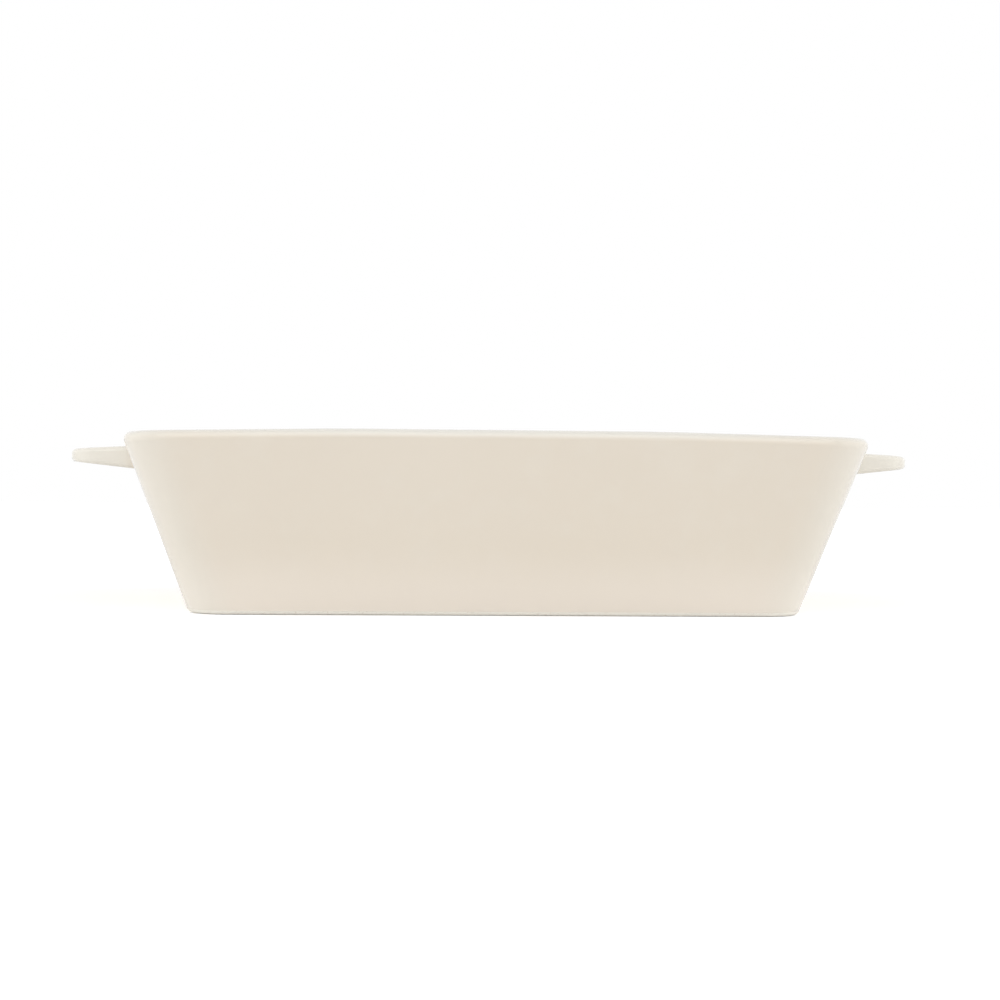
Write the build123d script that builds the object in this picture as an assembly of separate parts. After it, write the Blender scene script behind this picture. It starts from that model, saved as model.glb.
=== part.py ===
from build123d import *
import math
import os

# Lasagna dish: a rectangular oven dish with four leaning walls, a rounded rim whose long sides
# rise gently in the middle, a bare foot ring below and a tapering lug handle at each short side.
# Millimetres. X runs along the dish from handle to handle, Y across it and Z up. The origin is on
# the table, in the middle of the foot.

# Outside of the dish: sharp sizes, before its edges are rounded
rim_length = 310.0
rim_width = 220.0
base_length = 260.4
base_width = 170.4
side_height = 75.0
corner_radius = 20.0
base_rounding = 3.2

# Crown of the rim: level in the middle, straight to both ends, with a soft bend between
rim_crown = 1.7
crown_length = 130.0
crown_bend_radius = 800.0

# Wall, floor and rim: the two roundings of the lip are shares of the wall that carries them
wall = 6.5
floor = 6.0
lip_outer_share = 0.46
lip_inner_share = 0.32

# Hollow for the food
cavity_corner_radius = 18.0
cavity_floor_radius = 12.0

# Foot ring
foot_height = 1.8
foot_width = 9.0
foot_corner_radius = 12.0

# Handles: reach and drop are measured from the sharp end of the rim
handle_reach = 29.0
handle_drop = 4.55
handle_root_width = 120.0
handle_tip_width = 112.0
handle_plan_radius = 14.0
handle_root_thickness = 10.4
handle_top_fall = 1.4
handle_under_rise = 3.7
handle_top_rounding_share = 0.38
handle_under_rounding_share = 0.32

# One overrun for all cuts and for what runs into a wall
overrun = 5.0


def on_line(start, end, place):
    """Second coordinate, at a place in the first, on the straight line through two points."""
    return start[1] + (end[1] - start[1]) * (place - start[0]) / (end[0] - start[0])


def end_wall(height):
    """Half the sharp length of the dish at a height: the outer face of an end wall."""
    return on_line((0, base_length / 2), (side_height, rim_length / 2), height)


def side_wall(height):
    """Half the sharp width of the dish at a height: the outer face of a long wall."""
    return on_line((0, base_width / 2), (side_height, rim_width / 2), height)


def level_wall(half_size):
    """Wall thickness measured level, through a wall that leans out from the upright."""
    lean = math.atan((half_size(side_height) - half_size(0)) / side_height)
    return wall / math.cos(lean)


def elevation(plane, half_size, inset, low, high):
    """One pair of leaning walls, drawn in by an inset, as their outline run through the dish."""
    low_half = half_size(low) - inset
    high_half = half_size(high) - inset
    corners = [(-low_half, low), (low_half, low), (high_half, high), (-high_half, high)]
    outline = make_face(Polyline(*corners, close=True))
    return extrude(plane * outline, amount=rim_length, both=True)


def leaning_block(low, end_inset, side_inset, upright_radius, lower_radius):
    """Block between four leaning walls, open-ended above the rim, with round corners and foot."""
    high = side_height + rim_crown + overrun
    block = elevation(Plane.XZ, end_wall, end_inset, low, high)
    block &= elevation(Plane.YZ, side_wall, side_inset, low, high)
    level = block.edges().filter_by(Axis.X) + block.edges().filter_by(Axis.Y)
    slanted = [edge for edge in block.edges() if edge not in level]
    block = fillet(slanted, upright_radius)
    return fillet(block.faces().sort_by(Axis.Z)[0].edges(), lower_radius)


def under_crown():
    """Space below the rim, level along the crown and falling gently to both ends."""
    crown_end = (crown_length / 2, side_height + rim_crown)
    end = rim_length / 2 + overrun
    end_height = on_line(crown_end, (rim_length / 2, side_height), end)
    right_side = [crown_end, (end, end_height), (end, -overrun)]
    left_side = [(-x, z) for x, z in reversed(right_side)]
    outline = make_face(Polyline(*right_side, *left_side, close=True))
    outline = fillet(outline.vertices().group_by(Axis.Y)[-1], crown_bend_radius)
    return extrude(Plane.XZ * outline, amount=rim_width, both=True)


def make_outside():
    """The dish as a solid, foot and outer rounding of the lip included, without its hollow."""
    block = leaning_block(0, 0, 0, corner_radius, base_rounding)
    space = under_crown()
    outside = block & space
    return fillet(new_edges(block, space, combined=outside), wall * lip_outer_share)


def make_basin(outside):
    """Floor, four walls and lip, down to the top of the foot ring."""
    block = split(outside, Plane.XY.offset(foot_height), keep=Keep.TOP)
    hollow = leaning_block(
        foot_height + floor,
        level_wall(end_wall),
        level_wall(side_wall),
        cavity_corner_radius,
        cavity_floor_radius,
    )
    basin = block - hollow
    return fillet(new_edges(block, hollow, combined=basin), wall * lip_inner_share)


def make_foot_ring(outside):
    """Bare ring that the dish stands on, flush with the rounded lower edge of its walls."""
    ring = split(outside, Plane.XY.offset(foot_height), keep=Keep.BOTTOM)
    seat = ring.faces().sort_by(Axis.Z)[0].bounding_box().size
    recess = RectangleRounded(seat.X - 2 * foot_width, seat.Y - 2 * foot_width, foot_corner_radius)
    return ring - extrude(recess, amount=foot_height)


def handle_lines():
    """Top and underside of the right handle in side view, each from the end wall to the tip."""
    top = side_height - handle_drop
    under = top - handle_root_thickness
    tip = rim_length / 2 + handle_reach
    top_line = (end_wall(top), top), (tip, top - handle_top_fall)
    under_line = (end_wall(under), under), (tip, under + handle_under_rise)
    return top_line, under_line


def handle_profile(inner):
    """Tapering side view of the right handle, run across it, from inside the wall to the tip."""
    top_line, under_line = handle_lines()
    inner_top = (inner, on_line(*top_line, inner))
    inner_under = (inner, on_line(*under_line, inner))
    outline = Polyline(inner_under, under_line[1], top_line[1], inner_top, close=True)
    return extrude(Plane.XZ * make_face(outline), amount=handle_root_width, both=True)


def handle_plan(inner):
    """The right handle seen square to its top: sides that draw in and round outer corners."""
    (root_x, root_z), (tip_x, tip_z) = handle_lines()[0]
    tip_corner = (tip_x, handle_tip_width / 2)
    inner_corner = (inner, on_line((rim_length / 2, handle_root_width / 2), tip_corner, inner))
    other_side = [(x, -y) for x, y in (inner_corner, tip_corner)]
    plan = make_face(Polyline(tip_corner, inner_corner, *other_side, close=True))
    plan = fillet(plan.vertices().group_by(Axis.X)[-1], handle_plan_radius)
    fall = math.degrees(math.atan2(root_z - tip_z, tip_x - root_x))
    tip_edge = Axis((tip_x, 0, tip_z), Axis.Y.direction)
    return extrude(plan, amount=side_height + overrun).rotate(tip_edge, fall)


def make_right_handle(outside):
    """Lug with rounded edges, cut to lie against the leaning end wall."""
    inner = end_wall(0)
    lug = handle_profile(inner) & handle_plan(inner - overrun)
    tip_thickness = handle_root_thickness - handle_top_fall - handle_under_rise
    for which, share in ((-1, handle_top_rounding_share), (0, handle_under_rounding_share)):
        face = lug.faces().sort_by(Axis.Z)[which]
        inner_edge = face.edges().sort_by(Axis.X)[0]
        outer_edges = [edge for edge in face.edges() if edge != inner_edge]
        lug = fillet(outer_edges, tip_thickness * share)
    return lug - outside


outside = make_outside()
right_handle = make_right_handle(outside)
parts = {
    "basin": make_basin(outside),
    "foot_ring": make_foot_ring(outside),
    "left_handle": mirror(right_handle, about=Plane.YZ),
    "right_handle": right_handle,
}

os.makedirs("parts", exist_ok=True)
for name, solid in parts.items():
    export_step(solid, f"parts/{name}.step")
    print(name, round(solid.volume), solid.is_valid)
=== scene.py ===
import math

import bpy
from mathutils import Matrix, Vector


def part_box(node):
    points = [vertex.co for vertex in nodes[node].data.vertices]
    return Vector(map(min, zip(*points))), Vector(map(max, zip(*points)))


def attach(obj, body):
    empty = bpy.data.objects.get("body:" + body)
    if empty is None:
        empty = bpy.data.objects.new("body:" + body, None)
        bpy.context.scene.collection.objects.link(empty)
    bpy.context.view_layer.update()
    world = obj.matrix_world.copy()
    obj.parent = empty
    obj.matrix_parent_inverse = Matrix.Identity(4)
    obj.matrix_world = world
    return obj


# Lasagna dish in cream glaze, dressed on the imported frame. Metres, in the frame of the CAD model:
# X runs from handle to handle, Y from the front long wall to the back one, Z up from the table.
# A span is two places or values between which something comes in smoothly, and a reach is how far
# it has come in at both ends of its span.

mm = 0.001
white = (1, 1, 1, 1)

# Camera, from the outline of the dish in the photograph
camera_place = (-38.8 * mm, -774.1 * mm, 48.4 * mm)
camera_yaw = math.radians(3.26)
camera_roll = math.radians(0.47)
camera_lens = 59.58
camera_clip_end = 50.0

# White table. To the camera it glows a little near the dish, so that its shadow shows, and fully
# far from it.
floor_size = 24.0
floor_colour = (0.96, 0.96, 0.96, 1)
floor_roughness = 0.9
floor_span = (0.35, 1.5)
floor_glow = (0.25, 1.0)
floor_mirror_glow = 0.1

# White surroundings, by direction: strength from the front to the back, and its share from low
# down to the top
sky_back_span = (-1.0, 0.5)
sky_strength = (0.42, 0.79)
sky_top_span = (0.1, 0.8)
sky_top_share = (1.0, 0.7)

# Large soft boxes: one at each side, placed alike, with a power for the left one and the right
# one, and one in front
side_size = 2.4
side_place = (2.3, -0.8, 1.25)
side_powers = (34.4, 37.2)
front_size = 2.2
front_place = (-0.2, -2.0, 1.3)
front_power = 12.6

# Glaze: colours are linear
glaze_colour = (0.735, 0.665, 0.565, 1)
# Paler tone, for the random mottle and for the painted highlights on the corners and the handles
glaze_mottle_and_painted_highlight_colour = (0.77, 0.74, 0.665, 1)
glaze_deep_colour = (0.70, 0.625, 0.52, 1)
# Paler colour painted towards the foot: painted light against the shade low on the walls
glaze_foot_painted_light_colour = (0.79, 0.722, 0.635, 1)
# Paler, whiter colour painted on the lip: a painted highlight
glaze_lip_painted_highlight_colour = (0.72, 0.71, 0.665, 1)
glaze_roughness = (0.16, 0.26)
glaze_ior = 1.5
glaze_coat = 0.8
glaze_coat_roughness = 0.08

# Patterns in the glaze: a noise is its scale per metre and its detail
cloud_noise = (9.0, 3.0)
cloud_span = (0.35, 0.65)
cloud_reach = (0.0, 0.2)
mottle_noise = (70.0, 4.0)
mottle_span = (0.45, 0.75)
mottle_reach = (0.0, 0.12)
grain_noise = (160.0, 3.0)
grain_span = (0.3, 0.7)
ripple_noise = (22.0, 1.0)
ripple_height = 0.25 * mm
peel_noise = (420.0, 2.0)
peel_height = 0.012 * mm

# Places where the glaze colour is painted paler: heights towards the foot, painted light against
# the shade low on the walls, and spans measured inward from the outer edges of the dish, painted
# highlights on the lip, the corners and the handles. The corners are measured at the foot and lean
# with the walls.
painted_light_foot_span = (32.0 * mm, 4.0 * mm)
lip_from_top = (4.2 * mm, 0.2 * mm)
lip_reach = (0.0, 0.8)
corner_from_end = (26.8 * mm, 6.8 * mm)
corner_from_side = (34.8 * mm, 14.8 * mm)
corner_reach = (0.0, 0.5)
wall_lean = 0.33
handle_from_rim = (0.9 * mm, -6.1 * mm)
handle_from_side = (14.5 * mm, 4.5 * mm)
handle_from_tip = (9.9 * mm, 1.9 * mm)
handle_edge_reach = (0.15, 0.85)

# Bare clay of the foot
clay_colour = (0.90, 0.87, 0.80, 1)
clay_dark_colour = (0.79, 0.74, 0.66, 1)
clay_roughness = 0.85
speck_noise = (900.0, 2.0)
speck_span = (0.55, 0.75)
clay_grain_noise = (1400.0, 4.0)
clay_grain_height = 0.06 * mm

# Glaze gathered in the joint of each handle and of the foot, and the wiped edge above the foot
root_gather = 1.5 * mm
recess_gather = 0.7 * mm
wiped_edge_width = 0.35 * mm
wiped_edge_rise = 0.24 * mm
ribbon_steps = 8
ribbon_sink = 0.03 * mm

# How alike two directions or two places are when they count as the same
same_direction = 0.9995
direction_digits = 4
place_digits = 7

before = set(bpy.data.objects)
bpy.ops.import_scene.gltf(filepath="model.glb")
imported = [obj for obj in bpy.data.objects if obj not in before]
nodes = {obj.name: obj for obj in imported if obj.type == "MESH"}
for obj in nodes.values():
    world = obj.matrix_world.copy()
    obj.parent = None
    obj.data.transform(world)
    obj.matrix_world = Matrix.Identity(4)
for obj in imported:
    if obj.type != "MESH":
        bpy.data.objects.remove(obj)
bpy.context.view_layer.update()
up = Vector((0, 0, 1))


def new_material(name):
    """A material with an empty node tree, and its Principled shader."""
    material = bpy.data.materials.new(name)
    material.use_nodes = True
    tree = material.node_tree
    tree.nodes.clear()
    output = tree.nodes.new("ShaderNodeOutputMaterial")
    shader = tree.nodes.new("ShaderNodeBsdfPrincipled")
    tree.links.new(shader.outputs["BSDF"], output.inputs["Surface"])
    return material, tree, shader


def coordinates_of(tree, kind="Object"):
    """Texture coordinates. Every object here sits at the origin, so its own are the frame's."""
    return tree.nodes.new("ShaderNodeTexCoord").outputs[kind]


def along(tree, coordinates):
    """X, Y and Z of the coordinates as three values."""
    node = tree.nodes.new("ShaderNodeSeparateXYZ")
    tree.links.new(coordinates, node.inputs["Vector"])
    return node.outputs["X"], node.outputs["Y"], node.outputs["Z"]


def noise(tree, coordinates, scale, detail):
    """Value of a noise texture in metres."""
    node = tree.nodes.new("ShaderNodeTexNoise")
    node.inputs["Scale"].default_value = scale
    node.inputs["Detail"].default_value = detail
    tree.links.new(coordinates, node.inputs["Vector"])
    return node.outputs["Fac"]


def ramp(tree, value, span, reach=(0.0, 1.0)):
    """Value turned smoothly from one reach to the other over its span."""
    node = tree.nodes.new("ShaderNodeMapRange")
    node.interpolation_type = "SMOOTHSTEP"
    for name, number in zip(("From Min", "From Max", "To Min", "To Max"), (*span, *reach)):
        node.inputs[name].default_value = number
    tree.links.new(value, node.inputs["Value"])
    return node.outputs["Result"]


def combine(tree, operation, first, second):
    """One arithmetic step on two values, each a socket or a number."""
    node = tree.nodes.new("ShaderNodeMath")
    node.operation = operation
    for place, value in zip(node.inputs, (first, second)):
        if isinstance(value, float):
            place.default_value = value
        else:
            tree.links.new(value, place)
    return node.outputs[0]


def mix(tree, factor, first, second):
    """Colour between two colours, each a socket or four numbers."""
    node = tree.nodes.new("ShaderNodeMix")
    node.data_type = "RGBA"
    tree.links.new(factor, node.inputs["Factor"])
    for socket, colour in (("A", first), ("B", second)):
        place = [s for s in node.inputs if s.name == socket and s.type == "RGBA"][0]
        if isinstance(colour, tuple):
            place.default_value = colour
        else:
            tree.links.new(colour, place)
    return [s for s in node.outputs if s.type == "RGBA"][0]


def bump(tree, height, distance, under=None):
    """Normal bent by a height of that many metres, on top of another bent normal."""
    node = tree.nodes.new("ShaderNodeBump")
    node.inputs["Distance"].default_value = distance
    tree.links.new(height, node.inputs["Height"])
    if under is not None:
        tree.links.new(under, node.inputs["Normal"])
    return node.outputs["Normal"]


def inward(edge, span):
    """Places of a span that is measured inward from an edge."""
    return [edge - distance for distance in span]


def corner_painted_highlight(tree, out_from_middle, height):
    """How strongly the upright corners are painted paler: a painted highlight."""
    lean = combine(tree, "MULTIPLY", height, wall_lean)
    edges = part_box("foot_ring")[1]
    painted_highlights = []
    for place, edge, span in zip(out_from_middle, edges, (corner_from_end, corner_from_side)):
        at_foot = combine(tree, "SUBTRACT", place, lean)
        painted_highlights.append(ramp(tree, at_foot, inward(edge, span), corner_reach))
    return combine(tree, "MINIMUM", *painted_highlights)


def handle_painted_highlight(tree, out_from_middle):
    """How strongly the handles are painted paler, most at their sides and tips: a painted
    highlight.
    """
    end, side = out_from_middle
    rim_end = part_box("basin")[1][0]
    handle_tip, handle_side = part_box("right_handle")[1][:2]
    past_rim = ramp(tree, end, inward(rim_end, handle_from_rim))
    at_side = ramp(tree, side, inward(handle_side, handle_from_side), handle_edge_reach)
    at_tip = ramp(tree, end, inward(handle_tip, handle_from_tip), handle_edge_reach)
    return combine(tree, "MULTIPLY", past_rim, combine(tree, "MAXIMUM", at_side, at_tip))


def make_glaze():
    """Warm cream glaze with soft mottling and a faint ripple.

    It is painted paler over the lip, the corners and the edges of the handles, as painted
    highlights, and painted paler towards the foot, as painted light against the shade low on the
    walls.
    """
    material, tree, shader = new_material("cream_glaze")
    coordinates = coordinates_of(tree)
    across, depth, height = along(tree, coordinates)
    out_from_middle = [combine(tree, "ABSOLUTE", place, 0.0) for place in (across, depth)]
    cloud = ramp(tree, noise(tree, coordinates, *cloud_noise), cloud_span, cloud_reach)
    colour = mix(tree, cloud, glaze_colour, glaze_deep_colour)
    mottle = ramp(tree, noise(tree, coordinates, *mottle_noise), mottle_span, mottle_reach)
    colour = mix(tree, mottle, colour, glaze_mottle_and_painted_highlight_colour)
    # Painted light: paler towards the foot, against the shade low on the walls
    colour = mix(tree, ramp(tree, height, painted_light_foot_span), colour, glaze_foot_painted_light_colour)
    painted_corner_highlight = corner_painted_highlight(tree, out_from_middle, height)
    painted_handle_highlight = handle_painted_highlight(tree, out_from_middle)
    # Painted highlights: the corners and the handles painted paler
    colour = mix(tree, combine(tree, "MAXIMUM", painted_corner_highlight, painted_handle_highlight), colour, glaze_mottle_and_painted_highlight_colour)
    rim_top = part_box("basin")[1][2]
    # Painted highlight: the lip painted paler and whiter
    painted_lip_highlight = ramp(tree, height, inward(rim_top, lip_from_top), lip_reach)
    colour = mix(tree, painted_lip_highlight, colour, glaze_lip_painted_highlight_colour)
    tree.links.new(colour, shader.inputs["Base Color"])
    grain = ramp(tree, noise(tree, coordinates, *grain_noise), grain_span, glaze_roughness)
    tree.links.new(grain, shader.inputs["Roughness"])
    shader.inputs["IOR"].default_value = glaze_ior
    shader.inputs["Coat Weight"].default_value = glaze_coat
    shader.inputs["Coat Roughness"].default_value = glaze_coat_roughness
    ripple = bump(tree, noise(tree, coordinates, *ripple_noise), ripple_height)
    peel = bump(tree, noise(tree, coordinates, *peel_noise), peel_height, under=ripple)
    tree.links.new(peel, shader.inputs["Normal"])
    return material


def make_clay():
    """Bare fired clay, rough and finely speckled."""
    material, tree, shader = new_material("bare_clay")
    coordinates = coordinates_of(tree)
    speck = ramp(tree, noise(tree, coordinates, *speck_noise), speck_span)
    colour = mix(tree, speck, clay_colour, clay_dark_colour)
    tree.links.new(colour, shader.inputs["Base Color"])
    shader.inputs["Roughness"].default_value = clay_roughness
    grain = bump(tree, noise(tree, coordinates, *clay_grain_noise), clay_grain_height)
    tree.links.new(grain, shader.inputs["Normal"])
    return material


def dress(names, material):
    """Gives the carried-over CAD nodes that material."""
    for name in names:
        for place in nodes[name].material_slots:
            place.material = material


def seat_of(handle):
    """Normal of the face with which a handle lies against the end wall.

    It is the largest flat face of those that stand more upright than level.
    """
    areas = {}
    for face in handle.data.polygons:
        if abs(face.normal.x) > abs(face.normal.z):
            direction = tuple(round(number, direction_digits) for number in face.normal)
            areas[direction] = areas.get(direction, 0) + face.area
    return Vector(max(areas, key=areas.get)).normalized()


def joint(node, seat, hole=False):
    """Points in order round the edge where a node's seat meets its sides, with the sides' normals.

    The seat is the flat face with that normal. Where it has a hole, that edge is taken instead.
    """
    meeting = {}
    for face in node.data.polygons:
        for index in face.vertices:
            corner = node.data.vertices[index].co
            place = tuple(round(number, place_digits) for number in corner)
            meeting.setdefault(place, []).append(face.normal.copy())
    edge = []
    for place, normals in meeting.items():
        sides = [normal for normal in normals if normal.dot(seat) < same_direction]
        if sides and len(sides) < len(normals):
            edge.append((Vector(place), sum(sides, Vector()).normalized()))
    middle = sum((point for point, side in edge), Vector()) / len(edge)
    edge = [(point, side) for point, side in edge if ((point - middle).dot(side) < 0) == hole]
    first = seat.orthogonal().normalized()
    second = seat.cross(first)

    def turn(pair):
        arm = pair[0] - middle
        return math.atan2(arm.dot(second), arm.dot(first))

    return sorted(edge, key=turn)


def bent(start, pull, end, share):
    """Point on the curve from start to end that is drawn towards pull."""
    return start.lerp(pull, share).lerp(pull.lerp(end, share), share)


def ribbon(name, sections, outward):
    """Closed band of glaze through sections, each of a start, a pull and an end point."""
    row = ribbon_steps + 1
    points = [bent(*section, step / ribbon_steps) for section in sections for step in range(row)]
    faces = []
    for here in range(len(sections)):
        there = (here + 1) % len(sections)
        for step in range(ribbon_steps):
            first, second = here * row + step, there * row + step
            faces.append((first, second, second + 1, first + 1))
    mesh = bpy.data.meshes.new(name)
    mesh.from_pydata(points, [], faces)
    if mesh.polygons[ribbon_steps // 2].normal.dot(outward) < 0:
        mesh.flip_normals()
    mesh.polygons.foreach_set("use_smooth", [True] * len(mesh.polygons))
    band = bpy.data.objects.new(name, mesh)
    bpy.context.scene.collection.objects.link(band)
    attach(band, "root")
    return band


def gathered_glaze(name, node, seat, size, hole=False):
    """Hollow bead of glaze in the joint between a node's seat and what the seat lies on."""
    sections = []
    for point, side in joint(node, seat, hole):
        base = -seat
        along_base = (side - side.dot(base) * base).normalized()
        along_side = (base - base.dot(side) * side).normalized()
        start = point + size * along_base - ribbon_sink * base
        end = point + size * along_side - ribbon_sink * side
        sections.append((start, point, end))
        outward = side + base
    return ribbon(name, sections, outward)


def wiped_edge(name, node, seat):
    """Slightly raised edge at which the glaze ends above a node that was wiped clean."""
    sections = []
    for point, side in joint(node, seat):
        along_wall = (seat - seat.dot(side) * side).normalized()
        start = point + wiped_edge_width * along_wall - ribbon_sink * side
        pull = point + wiped_edge_rise * side
        sections.append((start, pull, point - ribbon_sink * side))
        outward = side
    return ribbon(name, sections, outward)


def make_floor():
    """White table top that keeps the soft shadow of the dish."""
    half = floor_size / 2
    mesh = bpy.data.meshes.new("floor")
    corners = [(-half, -half, 0), (half, -half, 0), (half, half, 0), (-half, half, 0)]
    mesh.from_pydata(corners, [], [(0, 1, 2, 3)])
    floor = bpy.data.objects.new("floor", mesh)
    bpy.context.scene.collection.objects.link(floor)
    material, tree, shader = new_material("floor_white")
    shader.inputs["Base Color"].default_value = floor_colour
    shader.inputs["Roughness"].default_value = floor_roughness
    shader.inputs["Specular IOR Level"].default_value = 0
    shader.inputs["Emission Color"].default_value = white
    away = tree.nodes.new("ShaderNodeVectorMath")
    away.operation = "LENGTH"
    tree.links.new(coordinates_of(tree), away.inputs[0])
    glow = ramp(tree, away.outputs["Value"], floor_span, floor_glow)
    path = tree.nodes.new("ShaderNodeLightPath")
    seen = combine(tree, "MULTIPLY", path.outputs["Is Camera Ray"], glow)
    mirrored = combine(tree, "MULTIPLY", path.outputs["Is Glossy Ray"], floor_mirror_glow)
    tree.links.new(combine(tree, "MAXIMUM", seen, mirrored), shader.inputs["Emission Strength"])
    mesh.materials.append(material)


def make_sky():
    """White surroundings, brighter low down and behind, plain white to camera and reflections."""
    world = bpy.data.worlds.new("sky")
    bpy.context.scene.world = world
    world.use_nodes = True
    tree = world.node_tree
    tree.nodes.clear()
    output = tree.nodes.new("ShaderNodeOutputWorld")
    background = tree.nodes.new("ShaderNodeBackground")
    background.inputs["Color"].default_value = white
    back, above = along(tree, coordinates_of(tree, "Generated"))[1:]
    around = ramp(tree, back, sky_back_span, sky_strength)
    share = ramp(tree, above, sky_top_span, sky_top_share)
    path = tree.nodes.new("ShaderNodeLightPath")
    seen = combine(tree, "MAXIMUM", path.outputs["Is Camera Ray"], path.outputs["Is Glossy Ray"])
    choose = tree.nodes.new("ShaderNodeMix")
    tree.links.new(seen, choose.inputs["Factor"])
    tree.links.new(combine(tree, "MULTIPLY", around, share), choose.inputs["A"])
    choose.inputs["B"].default_value = 1
    tree.links.new(choose.outputs["Result"], background.inputs["Strength"])
    tree.links.new(background.outputs["Background"], output.inputs["Surface"])


def make_soft_box(name, size, place, power, mirrored=True):
    """Square lamp that faces the middle of the dish, and that its glaze may mirror."""
    lamp = bpy.data.lights.new(name, "AREA")
    lamp.size = size
    lamp.energy = power
    light = bpy.data.objects.new(name, lamp)
    light.location = place
    light.rotation_euler = (-Vector(place)).to_track_quat("-Z", "Y").to_euler()
    light.visible_glossy = mirrored
    bpy.context.scene.collection.objects.link(light)


def make_camera():
    """The photograph's camera: level, turned a little to the right and rolled slightly."""
    camera = bpy.data.objects.new("camera", bpy.data.cameras.new("camera"))
    camera.data.lens = camera_lens
    camera.data.clip_end = camera_clip_end
    ahead = Vector((math.sin(camera_yaw), math.cos(camera_yaw), 0))
    level = Vector((math.cos(camera_yaw), -math.sin(camera_yaw), 0))
    right = level * math.cos(camera_roll) + up * math.sin(camera_roll)
    top = up * math.cos(camera_roll) - level * math.sin(camera_roll)
    turn = Matrix((right, top, -ahead)).transposed()
    camera.matrix_world = Matrix.Translation(camera_place) @ turn.to_4x4()
    bpy.context.scene.collection.objects.link(camera)
    bpy.context.scene.camera = camera


make_camera()
make_floor()
make_sky()
for side, power in zip((-1, 1), side_powers):
    side_box_place = (side * side_place[0], *side_place[1:])
    make_soft_box("side", side_size, side_box_place, power, mirrored=False)
make_soft_box("front", front_size, front_place, front_power)

glaze = make_glaze()
dress(("basin", "left_handle", "right_handle"), glaze)
dress(("foot_ring",), make_clay())

pieces = []
for side in ("left", "right"):
    handle = nodes[f"{side}_handle"]
    pieces.append(gathered_glaze(f"{side}_root_glaze", handle, seat_of(handle), root_gather))
pieces.append(gathered_glaze("recess_glaze", nodes["foot_ring"], up, recess_gather, hole=True))
pieces.append(wiped_edge("foot_glaze_edge", nodes["foot_ring"], up))
for piece in pieces:
    piece.data.materials.append(glaze)

bpy.context.scene.view_settings.view_transform = "Standard"
